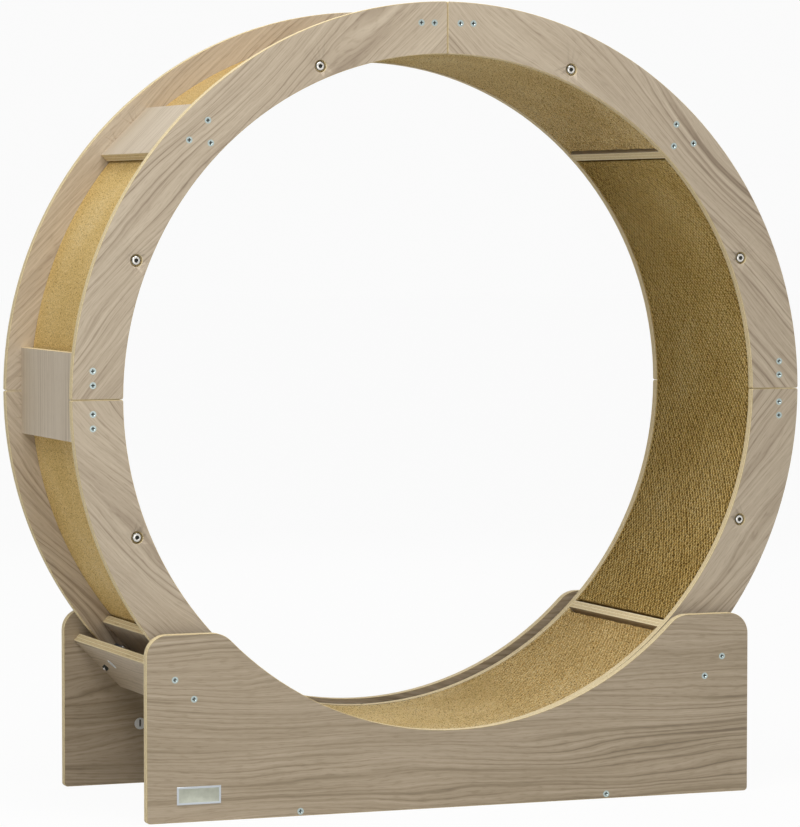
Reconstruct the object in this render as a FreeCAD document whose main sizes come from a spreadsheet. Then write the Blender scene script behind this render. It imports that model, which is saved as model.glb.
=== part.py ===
import FreeCAD, Part
import math
import os
import Sketcher

# Cat exercise wheel. Two plywood rings, each of four quarters, are held apart by flat
# slats and by four curved scratch pads that form the running track. The wheel turns on
# four rollers between two plywood side panels, and four small rollers steer it sideways.
# The origin is the middle of the footprint on the floor. +Z is up, the wheel turns about Y.

os.makedirs("parts", exist_ok=True)

# Driving dimensions, in millimetres and degrees.
SIZES = [
    ("board", 12.0),
    ("axle_height", 538.0),
    ("wheel_radius", 510.0),
    ("ring_inner_radius", 442.0),
    ("wheel_half_width", 158.5),
    ("joint_gap", 0.6),
    ("ring_corner", 2.5),
    ("arris", 0.8),
    ("slat_radius", 482.0),
    ("joint_slat_half", 57.0),
    ("cover_slat_half", 45.0),
    ("joint_screw_step", 18.2),
    ("cover_screw_step", 17.8),
    ("divider_inner_radius", 442.5),
    ("pad_inner_radius", 443.0),
    ("pad_outer_radius", 475.0),
    ("pad_end_gap", 1.2),
    ("pad_side_gap", 0.5),
    ("tie_radius", 459.0),
    ("tie_angle", 22.5),
    ("screw_shank_radius", 2.3),
    ("screw_head_radius", 4.4),
    ("screw_length", 45.0),
    ("recess_half", 0.6),
    ("recess_reach", 2.5),
    ("recess_depth", 2.0),
    ("pilot_clearance", 0.1),
    ("pilot_spare", 2.0),
    ("fit", 0.05),
    ("bolt_radius", 3.95),
    ("bolt_head_radius", 7.0),
    ("bolt_head_height", 4.4),
    ("bolt_length", 25.0),
    ("bolt_head_round", 3.9),
    ("bolt_socket", 5.0),
    ("bolt_hole_clearance", 0.25),
    ("counterbore_radius", 8.3),
    ("counterbore_depth", 5.0),
    ("tie_tube_radius", 6.0),
    ("base_half_width", 188.0),
    ("base_half_length", 422.0),
    ("base_height", 240.0),
    ("base_arc_radius", 436.5),
    ("base_corner", 28.0),
    ("base_shoulder", 35.0),
    ("base_foot_corner", 5.0),
    ("cross_radius", 523.0),
    ("cross_top", 48.5),
    ("cross_bottom", 44.5),
    ("cross_hardware", 2.0),
    ("cross_screw_step", 18.0),
    ("floor_board_half", 250.0),
    ("floor_screw", 215.0),
    ("roller_radius", 15.0),
    ("roller_width", 14.0),
    ("roller_gap", 0.3),
    ("roller_angle", 30.0),
    ("race_outer_radius", 11.0),
    ("race_inner_bore", 4.0),
    ("race_width", 7.0),
    ("ball_radius", 1.9),
    ("shield_thickness", 0.5),
    ("shield_bore", 6.0),
    ("tyre_lip", 0.8),
    ("roller_chamfer", 1.0),
    ("short_spacer_length", 4.5),
    ("spacer_radius", 5.4),
    ("ball_circle", 7.5),
    ("ball_count", 7.0),
    ("insert_radius", 5.5),
    ("insert_length", 9.5),
    ("insert_spare", 0.5),
    ("guide_radius", 12.5),
    ("guide_height", 11.0),
    ("guide_clearance", 0.7),
    ("guide_low", 496.5),
    ("guide_end_play", 0.5),
    ("guide_bush_radius", 4.0),
    ("guide_collar_radius", 6.0),
    ("guide_bolt_radius", 2.45),
    ("guide_bolt_tip", 1.0),
    ("guide_head_radius", 5.5),
    ("guide_head_height", 2.3),
    ("guide_head_bevel", 0.8),
    ("guide_socket", 3.0),
    ("guide_socket_depth", 1.6),
    ("nut_flats", 8.0),
    ("nut_height", 4.0),
    ("plate_length", 59.0),
    ("plate_height", 23.0),
    ("plate_thickness", 1.4),
    ("plate_bevel", 1.0),
    ("plate_across", -352.5),
    ("plate_up", 34.0),
    ("disc_radius", 8.0),
    ("disc_across", -315.0),
    ("disc_up", 81.0),
    ("cross_disc_along", 15.6),
    ("cross_disc_across", 77.6),
    ("disc_thickness", 0.3),
]

doc = FreeCAD.newDocument("CatWheel")
sheet = doc.addObject("Spreadsheet::Sheet", "Sizes")
for row, (alias, number) in enumerate(SIZES, start=1):
    sheet.set("A%d" % row, alias)
    sheet.set("B%d" % row, str(number))
    sheet.setAlias("B%d" % row, alias)
doc.recompute()


def size(alias):
    """The number that the sheet holds under this alias."""
    return float(sheet.get(alias))


def vector(x, y, z):
    return FreeCAD.Vector(x, y, z)


def turn(axis, degrees):
    return FreeCAD.Rotation(axis, degrees)


X_AXIS = vector(1, 0, 0)
Y_AXIS = vector(0, 1, 0)
Z_AXIS = vector(0, 0, 1)
CENTRE = vector(0, 0, size("axle_height"))
CENTRE_2D = vector(0, size("axle_height"), 0)
SIDES = (("front", -1), ("back", 1))
LEAST_CUT = 1e-3
CLOSE = 1e-6
parts = []


def keep(item, name, placement=None):
    """Names a finished sub-part, puts it in its place and lists it for export."""
    item.Label = name
    if placement is not None:
        item.Placement = placement
    parts.append(item)
    return item


def new_body(name):
    return doc.addObject("PartDesign::Body", name)


def origin_feature(body, role):
    return next(f for f in body.Origin.OriginFeatures if f.Role == role)


def new_sketch(body, name, plane="XZ_Plane", lift=None):
    """A sketch on one of the body's own origin planes, lifted along the plane's normal."""
    sketch = body.newObject("Sketcher::SketchObject", name)
    sketch.AttachmentSupport = [(origin_feature(body, plane), "")]
    sketch.MapMode = "FlatFace"
    if lift is not None:
        sketch.setExpression(".AttachmentOffset.Base.z", lift)
    return sketch


def bind(sketch, name, expression, *constraint):
    """Adds a constraint whose value follows the sheet."""
    index = sketch.addConstraint(Sketcher.Constraint(*constraint))
    sketch.renameConstraint(index, name)
    sketch.setExpression("Constraints." + name, expression)


def add_rectangle(sketch, name, left, right, low, high):
    """A rectangle whose four sides are set by expressions."""
    corners = [(-1, -1), (1, -1), (1, 1), (-1, 1)]
    first = sketch.GeometryCount
    for index in range(4):
        start = vector(corners[index][0], corners[index][1], 0)
        end = vector(corners[(index + 1) % 4][0], corners[(index + 1) % 4][1], 0)
        sketch.addGeometry(Part.LineSegment(start, end), False)
    for index in range(4):
        after = first + (index + 1) % 4
        sketch.addConstraint(Sketcher.Constraint("Coincident", first + index, 2, after, 1))
    for index in (0, 2):
        sketch.addConstraint(Sketcher.Constraint("Horizontal", first + index))
        sketch.addConstraint(Sketcher.Constraint("Vertical", first + index + 1))
    bind(sketch, name + "_left", left, "DistanceX", -1, 1, first, 1, -1.0)
    bind(sketch, name + "_right", right, "DistanceX", -1, 1, first + 2, 1, 1.0)
    bind(sketch, name + "_low", low, "DistanceY", -1, 1, first, 1, -1.0)
    bind(sketch, name + "_high", high, "DistanceY", -1, 1, first + 2, 1, 1.0)


def add_circle(sketch, name, across, up, radius):
    """A circle whose centre and radius are set by expressions."""
    index = sketch.addGeometry(Part.Circle(vector(1, 1, 0), Z_AXIS, 1.0), False)
    bind(sketch, name + "_across", across, "DistanceX", -1, 1, index, 3, 1.0)
    bind(sketch, name + "_up", up, "DistanceY", -1, 1, index, 3, 1.0)
    bind(sketch, name + "_radius", radius, "Radius", index, 1.0)


# Where an outline is drawn before its dimensions pull it into place.
ROUGH_PLACE = 5.0


def add_profile(sketch, points):
    """A closed outline of straight sides. Each corner is a pair of expressions."""
    count = len(points)
    first = sketch.GeometryCount
    rough = []
    for index in range(count):
        spoke = turn(Z_AXIS, 360.0 * index / count).multVec(X_AXIS)
        rough.append(vector(ROUGH_PLACE, ROUGH_PLACE, 0) + spoke)
    for index in range(count):
        sketch.addGeometry(Part.LineSegment(rough[index], rough[(index + 1) % count]), False)
    for index in range(count):
        after = first + (index + 1) % count
        sketch.addConstraint(Sketcher.Constraint("Coincident", first + index, 2, after, 1))
    for index, (across, up) in enumerate(points):
        name = "corner%d" % index
        bind(sketch, name + "_across", across, "DistanceX", -1, 1, first + index, 1, ROUGH_PLACE)
        bind(sketch, name + "_up", up, "DistanceY", -1, 1, first + index, 1, ROUGH_PLACE)


def pad(body, sketch, length, midplane=False):
    feature = body.newObject("PartDesign::Pad", sketch.Name + "Pad")
    feature.Profile = sketch
    feature.setExpression("Length", length)
    feature.Midplane = midplane
    doc.recompute()
    return feature


def pocket(body, sketch, length=None, against=False):
    """Cuts a sketch into the body: to a depth, or through all of it both ways."""
    before = body.Shape.Volume
    feature = body.newObject("PartDesign::Pocket", sketch.Name + "Pocket")
    feature.Profile = sketch
    feature.Reversed = against
    if length is None:
        feature.Type = "ThroughAll"
        feature.Midplane = True
    else:
        feature.setExpression("Length", length)
    doc.recompute()
    if body.Shape.Volume > before - LEAST_CUT:
        raise ValueError(sketch.Name + " cut nothing")
    return feature


def revolve(body, sketch, axis="V_Axis", angle=None):
    feature = body.newObject("PartDesign::Revolution", sketch.Name + "Revolution")
    feature.Profile = sketch
    feature.ReferenceAxis = (sketch, [axis])
    if angle is None:
        feature.Angle = 360.0
    else:
        feature.setExpression("Angle", angle)
    doc.recompute()
    return feature


def drill(body, sketch, kind, radius, cut_radius, cut_depth=None):
    """Through holes at the sketch's circles, with a countersink or a counterbore."""
    before = body.Shape.Volume
    feature = body.newObject("PartDesign::Hole", sketch.Name + "Hole")
    feature.Profile = sketch
    doc.recompute()
    feature.ThreadType = "None"
    feature.DepthType = "ThroughAll"
    feature.setExpression("Diameter", "2 * (%s)" % radius)
    feature.HoleCutType = kind
    feature.HoleCutCustomValues = True
    feature.setExpression("HoleCutDiameter", "2 * (%s)" % cut_radius)
    if cut_depth is not None:
        feature.setExpression("HoleCutDepth", cut_depth)
    else:
        feature.HoleCutCountersinkAngle = 90.0
    doc.recompute()
    if body.Shape.Volume > before - LEAST_CUT:
        raise ValueError(sketch.Name + " cut nothing")
    return feature


def edge_names(shape, wanted):
    return ["Edge%d" % (i + 1) for i, edge in enumerate(shape.Edges) if wanted(edge)]


def round_edges(body, name, radius, wanted):
    """Rounds the edges of the body's last feature that the test picks."""
    base = body.Tip
    feature = body.newObject("PartDesign::Fillet", name)
    feature.Base = (base, edge_names(base.Shape, wanted))
    feature.setExpression("Radius", radius)
    doc.recompute()
    return feature


def runs_across(edge):
    """True for a straight edge that runs along Y, through the board's thickness."""
    if edge.Curve.TypeId != "Part::GeomLine":
        return False
    return abs(abs(edge.tangentAt(edge.FirstParameter).y) - 1.0) < CLOSE


def lies_on_face(edge):
    """True for an edge that stays in one plane across Y: the border of a board's face."""
    box = edge.BoundBox
    return box.YMax - box.YMin < CLOSE


# --- The wheel's two rings: eight plywood quarters, joined end to end by the slats.

QUARTERS = ["upper_right", "upper_left", "lower_left", "lower_right"]
COS45 = "cos(45)"
ARC_MARGIN = 0.01
PILOT_RADIUS = "Sizes.screw_shank_radius + Sizes.pilot_clearance"
HEAD_HOLE_RADIUS = "Sizes.screw_head_radius + Sizes.pilot_clearance"


def ring_quarter(name):
    """One quarter from 0 to 90 degrees, its outer face at y = -board."""
    body = new_body(name)
    outline = new_sketch(body, name + "Outline")
    inner = size("ring_inner_radius")
    outer = size("wheel_radius")
    for radius in (inner, outer):
        circle = Part.Circle(vector(0, 0, 0), Z_AXIS, radius)
        outline.addGeometry(Part.ArcOfCircle(circle, ARC_MARGIN, math.pi / 2 - ARC_MARGIN))
    outline.addGeometry(Part.LineSegment(vector(inner, 1, 0), vector(outer, 1, 0)))
    outline.addGeometry(Part.LineSegment(vector(1, inner, 0), vector(1, outer, 0)))
    outline.addConstraint(Sketcher.Constraint("Coincident", 0, 3, -1, 1))
    outline.addConstraint(Sketcher.Constraint("Coincident", 1, 3, -1, 1))
    outline.addConstraint(Sketcher.Constraint("Coincident", 0, 1, 2, 1))
    outline.addConstraint(Sketcher.Constraint("Coincident", 1, 1, 2, 2))
    outline.addConstraint(Sketcher.Constraint("Coincident", 0, 2, 3, 1))
    outline.addConstraint(Sketcher.Constraint("Coincident", 1, 2, 3, 2))
    outline.addConstraint(Sketcher.Constraint("Horizontal", 2))
    outline.addConstraint(Sketcher.Constraint("Vertical", 3))
    bind(outline, "inner", "Sizes.ring_inner_radius", "Radius", 0, inner)
    bind(outline, "outer", "Sizes.wheel_radius", "Radius", 1, outer)
    bind(outline, "low_gap", "Sizes.joint_gap / 2", "DistanceY", -1, 1, 2, 1, 1.0)
    bind(outline, "high_gap", "Sizes.joint_gap / 2", "DistanceX", -1, 1, 3, 1, 1.0)
    pad(body, outline, "Sizes.board")
    round_edges(body, name + "Corners", "Sizes.ring_corner", runs_across)
    round_edges(body, name + "Arris", "Sizes.arris", lies_on_face)

    ties = new_sketch(body, name + "Ties", lift="Sizes.board")
    for index, angle in enumerate(("Sizes.tie_angle", "(90 - Sizes.tie_angle)")):
        across = "Sizes.tie_radius * cos(%s)" % angle
        up = "Sizes.tie_radius * sin(%s)" % angle
        add_circle(ties, "tie%d" % index, across, up, "Sizes.bolt_radius + Sizes.pilot_clearance")
    clear = "Sizes.bolt_radius + Sizes.bolt_hole_clearance"
    drill(body, ties, "Counterbore", clear, "Sizes.counterbore_radius", "Sizes.counterbore_depth")

    screws = new_sketch(body, name + "Screws", lift="Sizes.board")
    for index, (across, up) in enumerate(quarter_screw_places()):
        add_circle(screws, "screw%d" % index, across, up, "Sizes.screw_shank_radius")
    drill(body, screws, "Countersink", PILOT_RADIUS, HEAD_HOLE_RADIUS)
    return body


def quarter_screw_places():
    """The seven screws in a quarter: two at each end, and three where the cover slat is."""
    places = []
    for step in ("Sizes.joint_screw_step", "2 * Sizes.joint_screw_step"):
        places.append(("Sizes.slat_radius", step))
        places.append((step, "Sizes.slat_radius"))
    less = "(Sizes.slat_radius - Sizes.cover_screw_step) * " + COS45
    more = "(Sizes.slat_radius + Sizes.cover_screw_step) * " + COS45
    places.append((less, more))
    places.append((more, less))
    places.append(("Sizes.tie_radius * " + COS45, "Sizes.tie_radius * " + COS45))
    return places


def wheel_place(side, degrees, depth=0.0):
    """Turns a sub-part about the wheel's axle. Back ones face the other way."""
    spin = turn(Y_AXIS, -degrees)
    if side > 0:
        spin = spin.multiply(turn(Z_AXIS, 180))
    return FreeCAD.Placement(CENTRE + vector(0, side * depth, 0), spin)


ring_inside = size("wheel_half_width") - size("board")
for side_name, side in SIDES:
    for index, quarter_name in enumerate(QUARTERS):
        node = "%s_ring_%s" % (side_name, quarter_name)
        # A back quarter is turned about Z, so it starts one quarter further on.
        start = 90.0 * index if side < 0 else 90.0 * (index - 1)
        keep(ring_quarter(node), node, wheel_place(side, start, ring_inside))


# --- The flat plywood pieces between the rings, each with pilot holes in both ends.

INSIDE_WIDTH = "2 * (Sizes.wheel_half_width - Sizes.board)"
PILOT_DEPTH = "Sizes.screw_length - Sizes.board + Sizes.pilot_spare"


def bore_ends(body, name, span, circles, depth):
    """Sinks the same round holes into both ends of a bar that lies along Y."""
    for end, sign, against in (("Front", "", False), ("Back", "-", True)):
        holes = new_sketch(body, name + end, lift="%s(%s) / 2" % (sign, span))
        for index, (across, up, radius) in enumerate(circles):
            add_circle(holes, "hole%d" % index, across, up, radius)
        pocket(body, holes, depth, against)


def cross_bar(name, left, right, low, high, span, pilots):
    """A flat bar across the wheel or the base: a rectangle in XZ, drilled in both ends."""
    body = new_body(name)
    outline = new_sketch(body, name + "Outline")
    add_rectangle(outline, "side", left, right, low, high)
    pad(body, outline, span, midplane=True)
    circles = [(across, up, PILOT_RADIUS) for across, up in pilots]
    bore_ends(body, name + "Pilots", span, circles, PILOT_DEPTH)
    return body


SLAT_LOW = "Sizes.slat_radius - Sizes.board / 2"
SLAT_HIGH = "Sizes.slat_radius + Sizes.board / 2"
JOINT_NAMES = ["top", "left", "bottom", "right"]


def flat_slat(name, half, steps):
    """A slat at the top of the wheel, with a screw at each of these steps along it."""
    pilots = [(step, "Sizes.slat_radius") for step in steps]
    return cross_bar(name, "-" + half, half, SLAT_LOW, SLAT_HIGH, INSIDE_WIDTH, pilots)


def divider(name):
    """A board on edge between two pads, from the track to the cover slat."""
    half = "Sizes.board / 2"
    pilots = [("0", "Sizes.tie_radius")]
    low = "Sizes.divider_inner_radius"
    return cross_bar(name, "-" + half, half, low, SLAT_LOW, INSIDE_WIDTH, pilots)


near_step = "Sizes.joint_screw_step"
joint_steps = ["-2 * " + near_step, "-" + near_step, near_step, "2 * " + near_step]
for index, joint_name in enumerate(JOINT_NAMES):
    node = "joint_slat_" + joint_name
    slat = flat_slat(node, "Sizes.joint_slat_half", joint_steps)
    keep(slat, node, wheel_place(-1, 90.0 * index))

cover_steps = ["-Sizes.cover_screw_step", "Sizes.cover_screw_step"]
for index, quarter_name in enumerate(QUARTERS):
    place = wheel_place(-1, 90.0 * index - 45.0)
    node = "cover_slat_" + quarter_name
    keep(flat_slat(node, "Sizes.cover_slat_half", cover_steps), node, place)
    node = "divider_" + quarter_name
    keep(divider(node), node, place)


# --- The running track: four curved pads of corrugated card between the dividers.

PAD_ANGLE = "90 deg - 2 * asin((Sizes.board / 2 + Sizes.pad_end_gap) / Sizes.pad_inner_radius)"


def scratch_pad(name):
    """A quarter ring of card, turned about Y, with two holes across it for the tie tubes."""
    body = new_body(name)
    section = new_sketch(body, name + "Section", plane="XY_Plane")
    half = "(Sizes.wheel_half_width - Sizes.board - Sizes.pad_side_gap)"
    add_rectangle(section, "side", "Sizes.pad_inner_radius", "Sizes.pad_outer_radius", "-" + half, half)
    curve = revolve(body, section, angle=PAD_ANGLE)
    curve.Midplane = True
    doc.recompute()
    holes = new_sketch(body, name + "TieHoles")
    for index, angle in enumerate(("Sizes.tie_angle", "-Sizes.tie_angle")):
        across = "Sizes.tie_radius * cos(%s)" % angle
        up = "Sizes.tie_radius * sin(%s)" % angle
        add_circle(holes, "tie%d" % index, across, up, "Sizes.tie_tube_radius + Sizes.pilot_clearance")
    pocket(body, holes)
    return body


for index, joint_name in enumerate(JOINT_NAMES):
    node = "scratch_pad_" + joint_name
    keep(scratch_pad(node), node, wheel_place(-1, 90.0 * (index + 1)))


# --- Fasteners. Each kind is modelled once, along Z with its head at the top, and copied.

def turned(name, points):
    """A solid turned about Z from a half section of radius and height."""
    body = new_body(name)
    section = new_sketch(body, name + "Section")
    add_profile(section, points)
    revolve(body, section)
    return body


def socket(body, name, flats, depth, top="0"):
    """Sinks a hexagon socket into the top of a bolt."""
    sketch = new_sketch(body, name, plane="XY_Plane", lift=top)
    add_hexagon(sketch, flats)
    return pocket(body, sketch, depth)


def add_hexagon(sketch, flats):
    """A regular hexagon about the origin, sized across its flats."""
    corner = vector(size(flats) / math.sqrt(3), 0, 0)
    for index in range(6):
        start = turn(Z_AXIS, 60 * index).multVec(corner)
        end = turn(Z_AXIS, 60 * (index + 1)).multVec(corner)
        sketch.addGeometry(Part.LineSegment(start, end), False)
    ring = sketch.addGeometry(Part.Circle(vector(0, 0, 0), Z_AXIS, corner.Length), True)
    sketch.addConstraint(Sketcher.Constraint("Coincident", ring, 3, -1, 1))
    for index in range(6):
        after = (index + 1) % 6
        sketch.addConstraint(Sketcher.Constraint("Coincident", index, 2, after, 1))
        sketch.addConstraint(Sketcher.Constraint("PointOnObject", index, 1, ring))
        if index > 0:
            sketch.addConstraint(Sketcher.Constraint("Equal", 0, index))
    sketch.addConstraint(Sketcher.Constraint("PointOnObject", 0, 1, -1))
    bind(sketch, "corner", "Sizes.%s / 2 / cos(30)" % flats, "Radius", ring, corner.Length)


def cross_recess(body, name):
    """Sinks a screwdriver's cross into the top of a screw."""
    sketch = new_sketch(body, name, plane="XY_Plane")
    near = "Sizes.recess_half"
    far = "Sizes.recess_reach"
    forwards = [(far, near), (near, near), (near, far)]
    backwards = forwards[::-1]
    outline = []
    for right, top, corner in (
        ("", "", forwards), ("-", "", backwards), ("-", "-", forwards), ("", "-", backwards),
    ):
        outline += [(right + across, top + up) for across, up in corner]
    add_profile(sketch, outline)
    return pocket(body, sketch, "Sizes.recess_depth")


def countersunk_screw():
    """A wood screw with a countersunk head and a short point."""
    neck = "-(Sizes.screw_head_radius - Sizes.screw_shank_radius)"
    body = turned("WoodScrew", [
        ("0", "0"),
        ("Sizes.screw_head_radius", "0"),
        ("Sizes.screw_shank_radius", neck),
        ("Sizes.screw_shank_radius", "-Sizes.screw_length + 2 * Sizes.screw_shank_radius"),
        ("0", "-Sizes.screw_length"),
    ])
    cross_recess(body, "WoodScrewRecess")
    return body


def button_bolt(name, shank):
    """A button head bolt with a hexagon socket. Its head's top is at z = 0."""
    under = "-Sizes.bolt_head_height"
    tip = "%s - (%s)" % (under, shank)
    body = turned(name, [
        ("0", "0"),
        ("Sizes.bolt_head_radius", "0"),
        ("Sizes.bolt_head_radius", under),
        ("Sizes.bolt_radius", under),
        ("Sizes.bolt_radius", tip),
        ("0", tip),
    ])
    round_edges(body, name + "Dome", "Sizes.bolt_head_round", lambda edge: lies_level(edge, 0.0))
    socket(body, name + "Socket", "bolt_socket", "Sizes.bolt_socket / 2")
    return body


def lies_level(edge, height):
    """True for an edge that stays at one height."""
    box = edge.BoundBox
    return abs(box.ZMin - height) < CLOSE and abs(box.ZMax - height) < CLOSE


BOLT_BORE = "Sizes.bolt_radius + Sizes.fit"


def tie_tube():
    """A steel tube along Y, as long as the rings stand apart, with a thread in each end."""
    body = new_body("TieTube")
    rod = new_sketch(body, "TieTubeRod")
    add_circle(rod, "rod", "0", "0", "Sizes.tie_tube_radius")
    pad(body, rod, INSIDE_WIDTH, midplane=True)
    circles = [("0", "0", BOLT_BORE)]
    bore_ends(body, "TieTubeBore", INSIDE_WIDTH, circles, "Sizes.bolt_length")
    return body


def copies(name, masters, places):
    """One node that holds a separate solid of each master at every place."""
    solids = []
    for place in places:
        for master in masters:
            solid = master.Shape.copy()
            solid.Placement = place
            solids.append(solid)
    group = doc.addObject("Part::Feature", name)
    group.Shape = Part.makeCompound(solids)
    return keep(group, name)


def drilled_places(body, sketch_name, depth=0.0):
    """Where a board's outer holes are: each place's Z points out of the board's face."""
    places = []
    for hole in doc.getObject(sketch_name).Geometry:
        spot = vector(hole.Center.x, depth - size("board"), hole.Center.y)
        places.append(body.Placement.multiply(FreeCAD.Placement(spot, turn(X_AXIS, 90))))
    return places


wood_screw = countersunk_screw()
tie_bolt = button_bolt("TieBolt", "Sizes.bolt_length")
head_sink = size("counterbore_depth") - size("bolt_head_height")
slat_screw_places = []
tie_bolt_places = []
for quarter in parts[:8]:
    slat_screw_places += drilled_places(quarter, quarter.Label + "Screws")
    tie_bolt_places += drilled_places(quarter, quarter.Label + "Ties", head_sink)
copies("slat_screws", [wood_screw], slat_screw_places)
copies("tie_bolts", [tie_bolt], tie_bolt_places)
tie_tube_places = []
for count in range(8):
    spot = turn(Y_AXIS, size("tie_angle") + 45.0 * count).multVec(vector(size("tie_radius"), 0, 0))
    tie_tube_places.append(FreeCAD.Placement(CENTRE + spot, FreeCAD.Rotation()))
copies("tie_tubes", [tie_tube()], tie_tube_places)


# --- The base: two side panels, two slanted cross panels and a board on the floor.

BASE_INSIDE = "2 * (Sizes.base_half_width - Sizes.board)"
ROLLER_CIRCLE = "(Sizes.wheel_radius + Sizes.roller_gap + Sizes.roller_radius)"


def side_panel(name):
    """A side panel with its outer face at y = -board and its foot at z = 0."""
    body = new_body(name)
    outline = new_sketch(body, name + "Outline")
    half = size("base_half_length")
    top = size("base_height")
    radius = size("base_arc_radius")
    drop = size("axle_height") - top
    mouth = math.sqrt(radius ** 2 - drop ** 2)
    swing = math.atan2(mouth, drop)
    corners = [(-half, 0), (half, 0), (half, top), (mouth, top)]
    for index in range(3):
        start = vector(corners[index][0], corners[index][1], 0)
        end = vector(corners[index + 1][0], corners[index + 1][1], 0)
        outline.addGeometry(Part.LineSegment(start, end), False)
    hub = Part.Circle(CENTRE_2D, Z_AXIS, radius)
    outline.addGeometry(Part.ArcOfCircle(hub, 1.5 * math.pi - swing, 1.5 * math.pi + swing), False)
    outline.addGeometry(Part.LineSegment(vector(-mouth, top, 0), vector(-half, top, 0)), False)
    outline.addGeometry(Part.LineSegment(vector(-half, top, 0), vector(-half, 0, 0)), False)
    outline.addConstraint(Sketcher.Constraint("Coincident", 0, 2, 1, 1))
    outline.addConstraint(Sketcher.Constraint("Coincident", 1, 2, 2, 1))
    outline.addConstraint(Sketcher.Constraint("Coincident", 2, 2, 3, 2))
    outline.addConstraint(Sketcher.Constraint("Coincident", 3, 1, 4, 1))
    outline.addConstraint(Sketcher.Constraint("Coincident", 4, 2, 5, 1))
    outline.addConstraint(Sketcher.Constraint("Coincident", 5, 2, 0, 1))
    for level in (0, 2, 4):
        outline.addConstraint(Sketcher.Constraint("Horizontal", level))
    for upright in (1, 5):
        outline.addConstraint(Sketcher.Constraint("Vertical", upright))
    outline.addConstraint(Sketcher.Constraint("PointOnObject", 3, 3, -2))
    outline.addConstraint(Sketcher.Constraint("PointOnObject", 0, 1, -1))
    bind(outline, "left_end", "-Sizes.base_half_length", "DistanceX", -1, 1, 0, 1, -half)
    bind(outline, "right_end", "Sizes.base_half_length", "DistanceX", -1, 1, 0, 2, half)
    bind(outline, "right_top", "Sizes.base_height", "DistanceY", -1, 1, 2, 1, top)
    bind(outline, "left_top", "Sizes.base_height", "DistanceY", -1, 1, 4, 2, top)
    bind(outline, "arc_centre", "Sizes.axle_height", "DistanceY", -1, 1, 3, 3, size("axle_height"))
    bind(outline, "arc_radius", "Sizes.base_arc_radius", "Radius", 3, radius)
    pad(body, outline, "Sizes.board")

    def upright_at(is_outer, is_top):
        def wanted(edge):
            if not runs_across(edge):
                return False
            point = edge.Vertexes[0].Point
            return (abs(point.x) > half - 1) == is_outer and (point.z > top - 1) == is_top
        return wanted

    round_edges(body, name + "TopCorners", "Sizes.base_corner", upright_at(True, True))
    round_edges(body, name + "Shoulders", "Sizes.base_shoulder", upright_at(False, True))
    round_edges(body, name + "FootCorners", "Sizes.base_foot_corner", upright_at(True, False))
    round_edges(body, name + "Arris", "Sizes.arris", lies_on_face)

    screws = new_sketch(body, name + "Screws", lift="Sizes.board")
    shank = "Sizes.screw_shank_radius"
    for index, sign in enumerate(("-", "")):
        for step_index, step in enumerate(("-", "+")):
            along = "(-Sizes.cross_hardware %s Sizes.cross_screw_step)" % step
            across = "%s(Sizes.cross_radius - %s) * %s" % (sign, along, COS45)
            up = "Sizes.axle_height - (Sizes.cross_radius + %s) * %s" % (along, COS45)
            add_circle(screws, "cross%d%d" % (index, step_index), across, up, shank)
        add_circle(screws, "floor%d" % index, sign + "Sizes.floor_screw", "Sizes.board / 2", shank)
    drill(body, screws, "Countersink", PILOT_RADIUS, HEAD_HOLE_RADIUS)

    inserts = new_sketch(body, name + "Inserts", lift="0")
    for index, sign in enumerate(("-", "")):
        across = "%s%s * sin(Sizes.roller_angle)" % (sign, ROLLER_CIRCLE)
        up = "Sizes.axle_height - %s * cos(Sizes.roller_angle)" % ROLLER_CIRCLE
        add_circle(inserts, "insert%d" % index, across, up, "Sizes.insert_radius + Sizes.fit")
    pocket(body, inserts, "Sizes.insert_length + Sizes.insert_spare", True)
    return body


panel_inside = size("base_half_width") - size("board")
side_panels = []
for side_name, side in SIDES:
    node = side_name + "_side_panel"
    facing = turn(Z_AXIS, 0 if side < 0 else 180)
    side_panels.append(side_panel(node))
    keep(side_panels[-1], node, FreeCAD.Placement(vector(0, side * panel_inside, 0), facing))

base_screw_places = []
for panel in side_panels:
    base_screw_places += drilled_places(panel, panel.Label + "Screws")
copies("base_screws", [wood_screw], base_screw_places)

GUIDE_ACROSS = "(Sizes.wheel_half_width - Sizes.board - Sizes.guide_clearance - Sizes.guide_radius)"
GUIDE_HOLE = "Sizes.guide_bolt_radius + Sizes.pilot_clearance"
CROSS_LOW = "Sizes.cross_radius - Sizes.board / 2"
CROSS_HIGH = "Sizes.cross_radius + Sizes.board / 2"


def cross_panel(name):
    """A panel at the top of the wheel's circle, with a hole for each guide roller's bolt."""
    steps = [
        "Sizes.cross_hardware - Sizes.cross_screw_step",
        "Sizes.cross_hardware + Sizes.cross_screw_step",
    ]
    pilots = [(step, "Sizes.cross_radius") for step in steps]
    left = "-Sizes.cross_bottom"
    panel = cross_bar(name, left, "Sizes.cross_top", CROSS_LOW, CROSS_HIGH, BASE_INSIDE, pilots)
    holes = new_sketch(panel, name + "GuideHoles", plane="XY_Plane")
    for index, sign in enumerate(("-", "")):
        add_circle(holes, "guide%d" % index, "Sizes.cross_hardware", sign + GUIDE_ACROSS, GUIDE_HOLE)
    pocket(panel, holes)
    return panel


cross_panels = []
for side_name, facing in (("left", 0), ("right", 180)):
    node = side_name + "_cross_panel"
    slope = turn(Z_AXIS, facing).multiply(turn(Y_AXIS, -135))
    cross_panels.append(keep(cross_panel(node), node, FreeCAD.Placement(CENTRE, slope)))

floor_half = "Sizes.floor_board_half"
floor_pilots = [(sign + "Sizes.floor_screw", "Sizes.board / 2") for sign in ("-", "")]
keep(
    cross_bar("FloorBoard", "-" + floor_half, floor_half, "0", "Sizes.board", BASE_INSIDE, floor_pilots),
    "floor_board",
)


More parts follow.
